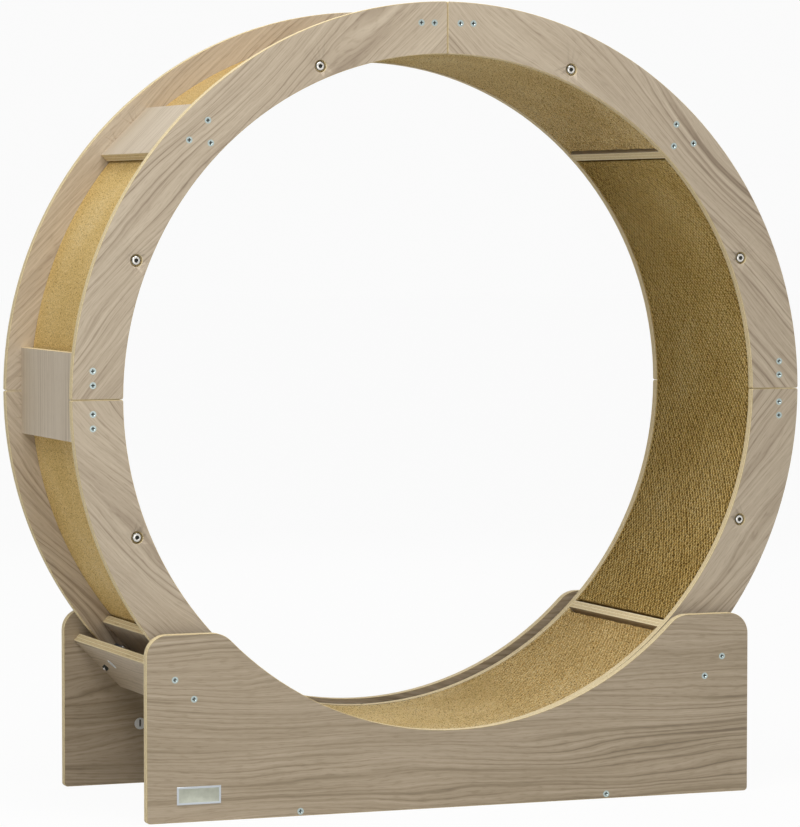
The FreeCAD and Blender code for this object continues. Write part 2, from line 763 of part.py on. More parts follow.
# --- The carrying rollers: a soft tyre on a sealed ball bearing, on a bolt in each side panel.
# Each stack is measured along Z from the side panel's inner face, towards the wheel.

TYRE_MIDDLE = "(Sizes.base_half_width - Sizes.wheel_half_width - Sizes.board / 2)"
RACE_LOW = "(%s - Sizes.race_width / 2)" % TYRE_MIDDLE
RACE_HIGH = "(%s + Sizes.race_width / 2)" % TYRE_MIDDLE
STACK_TOP = "(%s + Sizes.short_spacer_length)" % RACE_HIGH
SHELL_BORE = "Sizes.ball_circle + Sizes.ball_radius"
INNER_RACE = "Sizes.ball_circle - Sizes.ball_radius"


def threaded_insert():
    """A threaded steel insert, let into the side panel's inner face."""
    return turned("Insert", [
        (BOLT_BORE, "0"),
        ("Sizes.insert_radius", "0"),
        ("Sizes.insert_radius", "-Sizes.insert_length"),
        (BOLT_BORE, "-Sizes.insert_length"),
    ])


def sleeve(name, low, high):
    """A spacer on the axle bolt, from one height to another."""
    bore = "Sizes.race_inner_bore + Sizes.pilot_clearance"
    return turned(name, [
        (bore, low),
        ("Sizes.spacer_radius", low),
        ("Sizes.spacer_radius", high),
        (bore, high),
    ])


def inner_race():
    return turned("InnerRace", [
        ("Sizes.race_inner_bore", RACE_LOW),
        (INNER_RACE, RACE_LOW),
        (INNER_RACE, RACE_HIGH),
        ("Sizes.race_inner_bore", RACE_HIGH),
    ])


def bearing_shell(name):
    """The outer race, closed on both sides by thin shields."""
    low_shield = "%s + Sizes.shield_thickness" % RACE_LOW
    high_shield = "%s - Sizes.shield_thickness" % RACE_HIGH
    return turned(name, [
        ("Sizes.shield_bore", RACE_LOW),
        ("Sizes.race_outer_radius", RACE_LOW),
        ("Sizes.race_outer_radius", RACE_HIGH),
        ("Sizes.shield_bore", RACE_HIGH),
        ("Sizes.shield_bore", high_shield),
        (SHELL_BORE, high_shield),
        (SHELL_BORE, low_shield),
        ("Sizes.shield_bore", low_shield),
    ])


def roller_tyre(name):
    """A tyre moulded round the bearing, with a lip on both sides of it."""
    low = "%s - Sizes.roller_width / 2" % TYRE_MIDDLE
    high = "%s + Sizes.roller_width / 2" % TYRE_MIDDLE
    rim = "Sizes.roller_radius - Sizes.roller_chamfer"
    lip = "Sizes.race_outer_radius - Sizes.tyre_lip"
    groove = "Sizes.race_outer_radius + Sizes.fit"
    groove_low = "%s - Sizes.fit" % RACE_LOW
    groove_high = "%s + Sizes.fit" % RACE_HIGH
    return turned(name, [
        (lip, low),
        (rim, low),
        ("Sizes.roller_radius", "%s + Sizes.roller_chamfer" % low),
        ("Sizes.roller_radius", "%s - Sizes.roller_chamfer" % high),
        (rim, high),
        (lip, high),
        (lip, groove_high),
        (groove, groove_high),
        (groove, groove_low),
        (lip, groove_low),
    ])


def ball_set(name, place):
    """The bearing's balls, spaced evenly round its axis."""
    count = int(size("ball_count"))
    first = vector(size("ball_circle"), 0, tyre_middle)
    balls = []
    for index in range(count):
        ball = Part.makeSphere(size("ball_radius") - size("fit"))
        spot = turn(Z_AXIS, 360.0 * index / count).multVec(first)
        ball.Placement = place.multiply(FreeCAD.Placement(spot, FreeCAD.Rotation()))
        balls.append(ball)
    group = doc.addObject("Part::Feature", name)
    group.Shape = Part.makeCompound(balls)
    return keep(group, name)


tyre_middle = size("base_half_width") - size("wheel_half_width") - size("board") / 2
roller_circle = size("wheel_radius") + size("roller_gap") + size("roller_radius")
corners = []
for side_name, side in SIDES:
    for hand_name, hand in (("left", -1), ("right", 1)):
        swing = turn(Y_AXIS, hand * -size("roller_angle"))
        spot = CENTRE + swing.multVec(vector(0, side * panel_inside, -roller_circle))
        corners.append((side_name + "_" + hand_name, FreeCAD.Placement(spot, turn(X_AXIS, 90 * side))))

corner_places = [place for corner_name, place in corners]
axle_bolt = button_bolt("AxleBolt", "%s + Sizes.insert_length - Sizes.insert_spare" % STACK_TOP)
bolt_reach = size("insert_length") - size("insert_spare")
bolt_up = vector(0, 0, axle_bolt.Shape.BoundBox.ZLength - bolt_reach)
bolt_lift = FreeCAD.Placement(bolt_up, FreeCAD.Rotation())
copies("axle_inserts", [threaded_insert()], corner_places)
copies("axle_bolts", [axle_bolt], [place.multiply(bolt_lift) for place in corner_places])
copies("bearing_inner_races", [inner_race()], corner_places)
long_sleeve = sleeve("LongSleeve", "0", RACE_LOW)
short_sleeve = sleeve("ShortSleeve", RACE_HIGH, STACK_TOP)
copies("axle_spacers", [long_sleeve, short_sleeve], corner_places)
for corner_name, place in corners:
    keep(roller_tyre("roller_tyre_" + corner_name), "roller_tyre_" + corner_name, place)
    keep(bearing_shell("bearing_shell_" + corner_name), "bearing_shell_" + corner_name, place)
    ball_set("bearing_balls_" + corner_name, place)


# --- The guide rollers: small nylon rollers on bolts through the cross panels. They stand
# just inside the rings and stop the wheel from wandering sideways.
# Each stack is measured along Z from the cross panel's upper face, towards the axle.

ROLLER_TOP = "(%s - Sizes.guide_low)" % CROSS_LOW
ROLLER_FOOT = "(%s - Sizes.guide_height)" % ROLLER_TOP
BUSH_TOP = "(%s + Sizes.guide_end_play)" % ROLLER_TOP
COLLAR_TOP = "(%s - Sizes.guide_end_play)" % ROLLER_FOOT


def guide_roller(name):
    """A nylon roller with chamfered rims, with a running fit on its bush."""
    rim = "Sizes.guide_radius - Sizes.roller_chamfer"
    bore = "Sizes.guide_bush_radius + Sizes.fit"
    return turned(name, [
        (bore, ROLLER_FOOT),
        (rim, ROLLER_FOOT),
        ("Sizes.guide_radius", "%s + Sizes.roller_chamfer" % ROLLER_FOOT),
        ("Sizes.guide_radius", "%s - Sizes.roller_chamfer" % ROLLER_TOP),
        (rim, ROLLER_TOP),
        (bore, ROLLER_TOP),
    ])


def guide_bush():
    """A steel bush whose collar holds the roller clear of the panel."""
    return turned("GuideBush", [
        (GUIDE_HOLE, "0"),
        ("Sizes.guide_collar_radius", "0"),
        ("Sizes.guide_collar_radius", COLLAR_TOP),
        ("Sizes.guide_bush_radius", COLLAR_TOP),
        ("Sizes.guide_bush_radius", BUSH_TOP),
        (GUIDE_HOLE, BUSH_TOP),
    ])


def guide_bolt():
    """A bolt with a low head, which holds the roller and the bush to the panel."""
    head = "Sizes.guide_head_radius"
    top = "%s + Sizes.guide_head_height" % BUSH_TOP
    tip = "-Sizes.board - Sizes.nut_height - Sizes.guide_bolt_tip"
    body = turned("GuideBolt", [
        ("0", tip),
        ("Sizes.guide_bolt_radius", tip),
        ("Sizes.guide_bolt_radius", BUSH_TOP),
        (head, BUSH_TOP),
        (head, "%s - Sizes.guide_head_bevel" % top),
        ("%s - Sizes.guide_head_bevel" % head, top),
        ("0", top),
    ])
    socket(body, "GuideBoltSocket", "guide_socket", "Sizes.guide_socket_depth", top)
    return body


def guide_nut():
    """A hexagon nut against the cross panel's outer face."""
    body = new_body("GuideNut")
    foot = "-Sizes.board - Sizes.nut_height"
    outline = new_sketch(body, "GuideNutOutline", plane="XY_Plane", lift=foot)
    add_hexagon(outline, "nut_flats")
    pad(body, outline, "Sizes.nut_height")
    bore = new_sketch(body, "GuideNutBore", plane="XY_Plane")
    add_circle(bore, "bore", "0", "0", "Sizes.guide_bolt_radius + Sizes.fit")
    pocket(body, bore)
    return body


guide_across = ring_inside - size("guide_clearance") - size("guide_radius")
cross_face = size("cross_radius") - size("board") / 2
guides = []
for side_name, side in SIDES:
    for hand_name, panel, facing in (("left", cross_panels[0], 1), ("right", cross_panels[1], -1)):
        spot = vector(size("cross_hardware"), side * facing * guide_across, cross_face)
        place = panel.Placement.multiply(FreeCAD.Placement(spot, turn(X_AXIS, 180)))
        guides.append((side_name + "_" + hand_name, place))

guide_places = [place for corner_name, place in guides]
copies("guide_bushes", [guide_bush()], guide_places)
copies("guide_bolts", [guide_bolt()], guide_places)
copies("guide_nuts", [guide_nut()], guide_places)
for corner_name, place in guides:
    keep(guide_roller("guide_roller_" + corner_name), "guide_roller_" + corner_name, place)


# --- Trim: a bare metal plate on the front, and two paper assembly discs.

def name_plate():
    """A thin plate with a bevelled border, standing on the front panel's face."""
    body = new_body("NamePlate")
    outline = new_sketch(body, "NamePlateOutline")
    half = "Sizes.plate_length / 2"
    rise = "Sizes.plate_height / 2"
    add_rectangle(outline, "side", "-" + half, half, "-" + rise, rise)
    plate = pad(body, outline, "Sizes.plate_thickness")
    thickness = size("plate_thickness")

    def on_top(edge):
        return lies_on_face(edge) and edge.BoundBox.YMax < -thickness / 2

    bevel = body.newObject("PartDesign::Chamfer", "NamePlateBevel")
    bevel.Base = (plate, edge_names(plate.Shape, on_top))
    bevel.setExpression("Size", "Sizes.plate_bevel")
    doc.recompute()
    return body


def paper_disc():
    body = new_body("PaperDisc")
    outline = new_sketch(body, "PaperDiscOutline", plane="XY_Plane")
    add_circle(outline, "rim", "0", "0", "Sizes.disc_radius")
    pad(body, outline, "Sizes.disc_thickness")
    return body


plate_spot = vector(size("plate_across"), -size("base_half_width"), size("plate_up"))
keep(name_plate(), "name_plate", FreeCAD.Placement(plate_spot, FreeCAD.Rotation()))
panel_disc = vector(size("disc_across"), panel_inside, size("disc_up"))
cross_disc = vector(size("cross_disc_along"), size("cross_disc_across"), cross_face + size("board"))
disc_places = [
    FreeCAD.Placement(panel_disc, turn(X_AXIS, 90)),
    cross_panels[0].Placement.multiply(FreeCAD.Placement(cross_disc, FreeCAD.Rotation())),
]
copies("assembly_discs", [paper_disc()], disc_places)


# --- Check every object of the document, then write each sub-part to its own file.

doc.recompute()
for item in doc.Objects:
    if "Invalid" in item.State or "Error" in item.State:
        raise ValueError("%s failed: %s" % (item.Label, item.State))
names = [item.Label for item in parts]
if len(set(names)) != len(names) or len(names) > 60:
    raise ValueError("sub-part names clash, or there are too many")
for item in parts:
    if item.Shape.isNull() or not item.Shape.isValid() or not item.Shape.Solids:
        raise ValueError(item.Label + " has no valid solid")
for item in parts:
    item.Shape.exportStep("parts/%s.step" % item.Label)
print(len(parts), "sub-parts written")
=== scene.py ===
import bpy
import math
import random
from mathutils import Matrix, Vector


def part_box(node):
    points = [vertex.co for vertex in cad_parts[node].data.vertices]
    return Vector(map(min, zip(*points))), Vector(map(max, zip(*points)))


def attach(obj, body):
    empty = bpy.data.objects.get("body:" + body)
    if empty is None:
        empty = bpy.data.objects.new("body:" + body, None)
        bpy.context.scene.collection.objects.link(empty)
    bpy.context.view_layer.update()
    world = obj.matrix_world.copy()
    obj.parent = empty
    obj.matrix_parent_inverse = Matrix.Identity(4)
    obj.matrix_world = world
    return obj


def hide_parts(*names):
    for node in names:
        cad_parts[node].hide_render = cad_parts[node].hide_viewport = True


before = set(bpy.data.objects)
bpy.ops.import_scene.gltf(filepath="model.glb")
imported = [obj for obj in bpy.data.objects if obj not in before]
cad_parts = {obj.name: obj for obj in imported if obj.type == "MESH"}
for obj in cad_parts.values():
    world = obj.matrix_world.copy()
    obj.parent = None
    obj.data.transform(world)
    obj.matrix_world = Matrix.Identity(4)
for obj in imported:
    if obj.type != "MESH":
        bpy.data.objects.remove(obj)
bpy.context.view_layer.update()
scene = bpy.context.scene
scene.view_settings.view_transform = "Standard"


# --- Camera. A long lens from the front, a little to the left and just above the wheel's
# axle, as far off as the two rings' circles in the picture say.

CAMERA_PLACE = Vector((-1.9682, -5.0314, 0.7722))
CAMERA_TARGET = Vector((-0.0046, 0.0, 0.5052))
LENS_MM = 175.55

bpy.ops.object.camera_add(location=CAMERA_PLACE)
camera = bpy.context.object
camera.name = "studio_camera"
camera.data.lens = LENS_MM
camera.data.sensor_width = 36.0
camera.rotation_euler = (CAMERA_TARGET - CAMERA_PLACE).to_track_quat("-Z", "Y").to_euler()
scene.camera = camera


# --- Studio. A wide white floor under a white sky, as bright where they meet, and large soft
# lamps: high in front, on the left, above, low in front, and behind.

def linear(code):
    """A colour for a socket, from its sRGB hex code."""
    levels = [int(code[place:place + 2], 16) / 255 for place in (1, 3, 5)]
    bright = [v / 12.92 if v <= 0.04045 else ((v + 0.055) / 1.055) ** 2.4 for v in levels]
    return (*bright, 1.0)


def add_node(tree, kind, inputs=(), stops=(), **settings):
    """Adds one node. Inputs are pairs of a socket and its value or the socket it is fed by."""
    node = tree.nodes.new("ShaderNode" + kind)
    for name, value in settings.items():
        setattr(node, name, value)
    for socket, value in inputs:
        if isinstance(value, bpy.types.NodeSocket):
            tree.links.new(value, node.inputs[socket])
        else:
            node.inputs[socket].default_value = value
    if stops:
        ramp = node.color_ramp
        while len(ramp.elements) < len(stops):
            ramp.elements.new(0.5)
        for element, (place, code) in zip(ramp.elements, stops):
            element.position = place
            element.color = linear(code)
    return node


def new_material(name):
    """An empty material. Its tree and its output node are ready to be fed."""
    material = bpy.data.materials.new(name)
    material.use_nodes = True
    tree = material.node_tree
    tree.nodes.clear()
    return material, tree, add_node(tree, "OutputMaterial")


# Matt white paint. Where the camera or a metal part sees it, most of it glows, so that it
# reads as white paper and still takes the object's shadow.
FLOOR_HALF = 30.0
FLOOR_GLOW = 0.95

floor_paint, tree, output = new_material("matt_white_floor_paint")
path = add_node(tree, "LightPath")
direct = add_node(tree, "Math", [
    (0, path.outputs["Is Camera Ray"]), (1, path.outputs["Is Glossy Ray"]),
], operation="ADD", use_clamp=True)
glow_share = add_node(tree, "Math", [(0, direct.outputs[0]), (1, FLOOR_GLOW)], operation="MULTIPLY")
grit = add_node(tree, "TexNoise", [("Scale", 900.0)])
relief = add_node(tree, "Bump", [
    ("Strength", 0.02), ("Distance", 0.0002), ("Height", grit.outputs["Fac"]),
])
paint = add_node(tree, "BsdfDiffuse", [("Color", linear("#E2E2E0")), ("Normal", relief.outputs[0])])
glow = add_node(tree, "Emission", [("Color", linear("#FFFFFF")), ("Strength", 1.0)])
mixed = add_node(tree, "MixShader", [
    (0, glow_share.outputs[0]), (1, paint.outputs[0]), (2, glow.outputs[0]),
])
tree.links.new(mixed.outputs[0], output.inputs["Surface"])

bpy.ops.mesh.primitive_plane_add(size=2 * FLOOR_HALF)
floor = bpy.context.object
floor.name = "studio_floor"
floor.data.materials.append(floor_paint)

# The sky lights the object a little. Where it is seen, it is close to the floor's far end
# in brightness, so that no horizon shows.
SKY_LIGHT = 0.25
SWEEP_WHITE = 0.962
world = bpy.data.worlds.new("studio_air")
scene.world = world
world.use_nodes = True
tree = world.node_tree
tree.nodes.clear()
path = add_node(tree, "LightPath")
seen = add_node(tree, "Math", [
    (0, path.outputs["Is Camera Ray"]), (1, path.outputs["Is Glossy Ray"]),
], operation="ADD", use_clamp=True)
air = add_node(tree, "Background", [("Color", linear("#FFFFFF")), ("Strength", SKY_LIGHT)])
sweep = add_node(tree, "Background", [("Color", linear("#FFFFFF")), ("Strength", SWEEP_WHITE)])
mixed = add_node(tree, "MixShader", [
    (0, seen.outputs[0]), (1, air.outputs[0]), (2, sweep.outputs[0]),
])
add_node(tree, "OutputWorld", [("Surface", mixed.outputs[0])])

WHEEL_MIDDLE = Vector((0.0, 0.0, 0.538))


def soft_lamp(name, place, side, power):
    """A square soft box that faces the wheel."""
    bpy.ops.object.light_add(type="AREA", location=place)
    lamp = bpy.context.object
    lamp.name = name
    lamp.data.shape = "SQUARE"
    lamp.data.size = side
    lamp.data.energy = power
    lamp.rotation_euler = (WHEEL_MIDDLE - Vector(place)).to_track_quat("-Z", "Y").to_euler()


soft_lamp("key_lamp", (-0.2, -1.2, 3.2), 1.5, 46.0)
soft_lamp("side_lamp", (-1.6, -1.4, 2.2), 1.0, 21.0)
soft_lamp("top_lamp", (-1.6, -0.5, 2.8), 1.5, 6.0)
soft_lamp("low_lamp", (-0.5, -2.8, 0.5), 1.5, 7.0)
soft_lamp("back_lamp", (1.0, 3.4, 2.0), 2.0, 22.0)


# --- Ring quarters. Eight curved boards of birch plywood, faced on both sides with a matt
# printed oak laminate. They are cut on a router, so their edges show the bare plies.

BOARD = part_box("floor_board")[1].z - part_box("floor_board")[0].z
# How far the print's ripples and its years drift, and what each layer adds to the shade.
RIPPLE_RISE = 0.006
DRIFT_YEARS = 3.2
LINE_SHARE = 0.52
STREAK_SHARE = 0.42
BAND_SHARE = 0.24
PORE_SHARE = 0.10


def stretched_noise(tree, vector, scale, detail, **more):
    """Noise with its own scale along each axis, as a value from 0 to 1."""
    stretch = add_node(tree, "Mapping", [("Vector", vector), ("Scale", scale)])
    settings = [("Vector", stretch.outputs[0]), ("Scale", 1.0), ("Detail", detail)]
    return add_node(tree, "TexNoise", settings + list(more.items())).outputs["Fac"]


def printed_oak(name, tones, swell, spacing):
    """Oak-print laminate: a satin melamine film with a photographic print. Its growth lines,
    spacing metres apart on average, run with the grain and bend into arches where the print
    swells, by up to swell metres. Between them are finer streaks that follow the same bends,
    and pores that give a slight tooth. The UV map is in metres, with U along the grain."""
    material, tree, output = new_material(name)
    coords = add_node(tree, "TexCoord")
    split = add_node(tree, "SeparateXYZ", [("Vector", coords.outputs["UV"])])
    swells = stretched_noise(tree, coords.outputs["UV"], (2.2, 9.0, 1.0), 1.0)
    ripples = stretched_noise(tree, coords.outputs["UV"], (13.0, 40.0, 1.0), 2.0)
    bent = add_node(tree, "Math", [(0, swells), (1, swell), (2, split.outputs["Y"])],
                    operation="MULTIPLY_ADD")
    bent = add_node(tree, "Math", [(0, ripples), (1, RIPPLE_RISE), (2, bent.outputs[0])],
                    operation="MULTIPLY_ADD")
    flow = add_node(tree, "CombineXYZ", [("X", split.outputs["X"]), ("Y", bent.outputs[0])])

    # Growth lines, unevenly spaced: each year darkens into a crisp late line, then starts pale.
    drift = stretched_noise(tree, flow.outputs[0], (0.9, 0.55 / spacing, 1.0), 2.0)
    count = add_node(tree, "Math", [(0, bent.outputs[0]), (1, 1 / spacing)], operation="MULTIPLY")
    count = add_node(tree, "Math", [(0, drift), (1, DRIFT_YEARS), (2, count.outputs[0])],
                     operation="MULTIPLY_ADD")
    year = add_node(tree, "Math", [(0, count.outputs[0])], operation="FRACT")
    growth = add_node(tree, "ValToRGB", [("Fac", year.outputs[0])], stops=[
        (0.0, "#4C4C4C"), (0.05, "#B4B4B4"), (0.13, "#DCDCDC"), (0.5, "#EFEFEF"), (0.82, "#D2D2D2"),
        (0.95, "#9A9A9A"), (1.0, "#4C4C4C"),
    ])
    # Only some years are marked strongly, in groups.
    mark = stretched_noise(tree, flow.outputs[0], (1.8, 0.20 / spacing, 1.0), 3.0)
    mark_depth = add_node(tree, "MapRange", [
        ("Value", mark), ("From Min", 0.40), ("From Max", 0.68), ("To Min", 0.06), ("To Max", 1.0),
    ])
    lines = add_node(tree, "Mix", [
        (0, mark_depth.outputs["Result"]), (2, 0.80), (3, growth.outputs["Color"]),
    ], data_type="FLOAT")
    # Streaks some 3 mm apart, broad pale and dark bands, and short dark pores.
    streaks = stretched_noise(tree, flow.outputs[0], (6.0, 330.0, 1.0), 3.0, Roughness=0.65)
    bands = stretched_noise(tree, flow.outputs[0], (1.5, 22.0, 1.0), 3.0)
    pores = stretched_noise(tree, flow.outputs[0], (55.0, 700.0, 1.0), 2.0)
    pore_depth = add_node(tree, "MapRange", [
        ("Value", pores), ("From Min", 0.30), ("From Max", 0.48),
    ])
    shade = 0.0
    for layer, share in (
        (lines.outputs[0], LINE_SHARE), (streaks, STREAK_SHARE),
        (bands, BAND_SHARE), (pore_depth.outputs["Result"], PORE_SHARE),
    ):
        added = add_node(tree, "Math", [(0, layer), (1, share), (2, shade)],
                         operation="MULTIPLY_ADD")
        shade = added.outputs[0]
    colour = add_node(tree, "ValToRGB", [("Fac", shade)],
                      stops=list(zip((0.50, 0.70, 0.83, 0.97), tones)))
    tooth = add_node(tree, "Bump", [("Strength", 0.12), ("Distance", 0.0002), ("Height", pores)])
    surface = add_node(tree, "BsdfPrincipled", [
        ("Base Color", colour.outputs["Color"]), ("Roughness", 0.52), ("IOR", 1.5),
        ("Normal", tooth.outputs[0]),
    ])
    tree.links.new(surface.outputs[0], output.inputs["Surface"])
    return material


ring_laminate = printed_oak(
    "printed_oak_laminate_pale", ("#8A7965", "#AB9A84", "#BEAE97", "#CFC0A9"), 0.115, 0.012,
)

# Birch plywood edge: five plies, sanded bare. Every other ply shows end grain and is a
# little darker, with a thin brown glue line between, and here and there a dark core gap.
# U runs along the edge and V is the depth through the board, both in metres.
PLIES = 5
ply_edge, tree, output = new_material("birch_plywood_edge")
coords = add_node(tree, "TexCoord")
split = add_node(tree, "SeparateXYZ", [("Vector", coords.outputs["UV"])])
wander = stretched_noise(tree, coords.outputs["UV"], (14.0, 0.0, 1.0), 2.0)
ply_place = add_node(tree, "Math", [(0, split.outputs["Y"]), (1, PLIES / BOARD), (2, -0.15)],
                     operation="MULTIPLY_ADD")
ply_place = add_node(tree, "Math", [(0, wander), (1, 0.3), (2, ply_place.outputs[0])],
                     operation="MULTIPLY_ADD")
pair = add_node(tree, "Math", [(0, ply_place.outputs[0]), (1, 0.5)], operation="MULTIPLY")
in_pair = add_node(tree, "Math", [(0, pair.outputs[0])], operation="FRACT")
plies = add_node(tree, "ValToRGB", [("Fac", in_pair.outputs[0])], stops=[
    (0.0, "#BAA068"), (0.06, "#EBDBB0"), (0.43, "#F0E3C1"), (0.50, "#BAA068"), (0.57, "#E2CD9E"),
    (0.94, "#E5D2A6"), (1.0, "#BAA068"),
])
core_gaps = stretched_noise(tree, coords.outputs["UV"], (26.0, 420.0, 1.0), 3.0)
gaps = add_node(tree, "ValToRGB", [("Fac", core_gaps)], stops=[
    (0.26, "#957B48"), (0.37, "#FFFFFF"),
])
speck = add_node(tree, "TexNoise", [
    ("Vector", coords.outputs["Object"]), ("Scale", 420.0), ("Detail", 4.0),
])
wear = add_node(tree, "ValToRGB", [("Fac", speck.outputs["Fac"])], stops=[
    (0.3, "#E0D9C9"), (0.62, "#FFFFFF"),
])
sanded = add_node(tree, "Mix", [(0, 0.75), (6, plies.outputs["Color"]), (7, gaps.outputs["Color"])],
                  data_type="RGBA", blend_type="MULTIPLY")
sanded = add_node(tree, "Mix", [(0, 0.6), (6, sanded.outputs[2]), (7, wear.outputs["Color"])],
                  data_type="RGBA", blend_type="MULTIPLY")
saw_marks = add_node(tree, "Bump", [
    ("Strength", 0.25), ("Distance", 0.0003), ("Height", speck.outputs["Fac"]),
])
surface = add_node(tree, "BsdfPrincipled", [
    ("Base Color", sanded.outputs[2]), ("Roughness", 0.72), ("Normal", saw_marks.outputs[0]),
])
tree.links.new(surface.outputs[0], output.inputs["Surface"])


MERGE_GAP = 0.00001
SMOOTH_ANGLE = math.radians(35)


def copy_of(node, name):
    """A clean copy of a CAD node's mesh: its loose triangles are merged, smoothed by angle, and
    shaded so that its large flat faces stay flat up to their rounded edges."""
    bpy.ops.object.select_all(action="DESELECT")
    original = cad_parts[node]
    piece = bpy.data.objects.new(name, original.data.copy())
    scene.collection.objects.link(piece)
    piece.data.materials.clear()
    bpy.context.view_layer.objects.active = piece
    piece.select_set(True)
    bpy.ops.object.mode_set(mode="EDIT")
    bpy.ops.mesh.select_all(action="SELECT")
    bpy.ops.mesh.remove_doubles(threshold=MERGE_GAP)
    bpy.ops.object.mode_set(mode="OBJECT")
    bpy.ops.object.shade_smooth_by_angle(angle=SMOOTH_ANGLE)
    bpy.ops.object.modifier_add(type="WEIGHTED_NORMAL")
    piece.modifiers[0].keep_sharp = True
    piece.modifiers[0].weight = 100
    bpy.ops.object.modifier_apply(modifier=piece.modifiers[0].name)
    piece.select_set(False)
    return piece


def stands_for(piece, node, body):
    """The piece takes the CAD node's place on its body."""
    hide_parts(node)
    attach(piece, body)


# How square a surface is to its direction at least, how near the board's outside a laminated
# face lies, and how far the print slips sideways for each metre of shift.
FLAT_SQUARENESS = 0.98
ARC_SQUARENESS = 0.995
FACE_DEPTH = 0.45 * BOARD
SIDE_SLIP = 0.37


def face_board(piece, laminate, through, grain, shift):
    """Lays laminate on a board's two faces and bare ply round its edges, with their UV map.
    Through is the direction through the board, grain the direction of the print, and shift
    picks the stretch of the print that this board is cut from."""
    across = through.cross(grain)
    depths = [through.dot(vertex.co) for vertex in piece.data.vertices]
    middle = (max(depths) + min(depths)) / 2
    piece.data.materials.append(laminate)
    piece.data.materials.append(ply_edge)
    layer = piece.data.uv_layers.active or piece.data.uv_layers.new(name="UVMap")
    for face in piece.data.polygons:
        depth = through.dot(face.center) - middle
        is_face = abs(face.normal.dot(through)) > FLAT_SQUARENESS and abs(depth) > FACE_DEPTH
        face.material_index = 0 if is_face else 1
        arm = face.center - WHEEL_MIDDLE
        reach = math.hypot(arm.x, arm.z)
        is_arc = abs(face.normal.x * arm.x + face.normal.z * arm.z) > ARC_SQUARENESS * reach
        along = through.cross(face.normal)
        for loop in face.loop_indices:
            point = piece.data.vertices[piece.data.loops[loop].vertex_index].co
            if is_face:
                side = math.copysign(shift, depth)
                slipped = across.dot(point) + SIDE_SLIP * side
                layer.data[loop].uv = (grain.dot(point) + side, slipped)
                continue
            if is_arc:
                # Measured round the axle, from the middle of the face so that it never wraps.
                turn = (point.x - WHEEL_MIDDLE.x) * arm.z - (point.z - WHEEL_MIDDLE.z) * arm.x
                run = math.atan2(arm.z, arm.x) * reach - turn / reach
            else:
                run = along.dot(point)
            layer.data[loop].uv = (run + shift, through.dot(point) - middle + BOARD / 2)


THROUGH_RING = Vector((0.0, 1.0, 0.0))
QUARTERS = {"upper_right": 45.0, "upper_left": 135.0, "lower_left": 225.0, "lower_right": 315.0}
# Where on the print each side's first quarter is cut, and how far on the next one is.
RING_CUTS = {"front": 3.1, "back": 9.7}
RING_CUT_STEP = 1.9

for side, side_shift in RING_CUTS.items():
    for count, (quarter, middle_angle) in enumerate(QUARTERS.items()):
        node = side + "_ring_" + quarter
        piece = copy_of(node, node + "_board")
        chord = math.radians(middle_angle + 90.0)
        grain = Vector((math.cos(chord), 0.0, math.sin(chord)))
        face_board(piece, ring_laminate, THROUGH_RING, grain, side_shift + RING_CUT_STEP * count)
        stands_for(piece, node, "wheel")


# --- Slats and dividers. Flat boards of the same plywood, let in between the rings. The
# slats' print runs round the wheel, the dividers stand on edge between two pads.

def radial(angle):
    """The direction from the axle outwards, at an angle from the right, in degrees."""
    return Vector((math.cos(math.radians(angle)), 0.0, math.sin(math.radians(angle))))


slat_laminate = printed_oak(
    "printed_oak_laminate_plain", ("#A39177", "#B8A78F", "#C5B69F", "#CFC1AB"), 0.010, 0.013,
)
JOINTS = {"right": 0.0, "top": 90.0, "left": 180.0, "bottom": 270.0}
# Where on the print the first board of each kind is cut, and how far on the next one is.
JOINT_SLAT_CUT = 21.3
COVER_SLAT_CUT = 31.9
DIVIDER_CUT = 41.7
SLAT_CUT_STEP = 1.3

for count, (joint, angle) in enumerate(JOINTS.items()):
    node = "joint_slat_" + joint
    piece = copy_of(node, node + "_board")
    cut = JOINT_SLAT_CUT + SLAT_CUT_STEP * count
    face_board(piece, slat_laminate, radial(angle), radial(angle + 90.0), cut)
    stands_for(piece, node, "wheel")
for count, (quarter, angle) in enumerate(QUARTERS.items()):
    node = "cover_slat_" + quarter
    piece = copy_of(node, node + "_board")
    cut = COVER_SLAT_CUT + SLAT_CUT_STEP * count
    face_board(piece, slat_laminate, radial(angle), radial(angle + 90.0), cut)
    stands_for(piece, node, "wheel")
    node = "divider_" + quarter
    piece = copy_of(node, node + "_board")
    cut = DIVIDER_CUT + SLAT_CUT_STEP * count
    face_board(piece, slat_laminate, radial(angle + 90.0), THROUGH_RING, cut)
    stands_for(piece, node, "wheel")


# --- Scratch pads. Strips of corrugated card glued side by side, with their cut edges to the
# track, so the paper's waves and liners show as rows of small open cells. The ends are torn.

pad_low, pad_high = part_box("scratch_pad_bottom")
PAD_OUTER = WHEEL_MIDDLE.z - pad_low.z
PAD_END_ANGLE = math.asin(pad_high.x / PAD_OUTER)
PAD_INNER = (WHEEL_MIDDLE.z - pad_high.z) / math.cos(PAD_END_ANGLE)
STRIP_PITCH = 0.0042
WAVE_PITCH = 0.0084
CELL_WALL = 0.0006
CELL_DEPTH = 0.0030
CELL_MOUTH = 0.0002


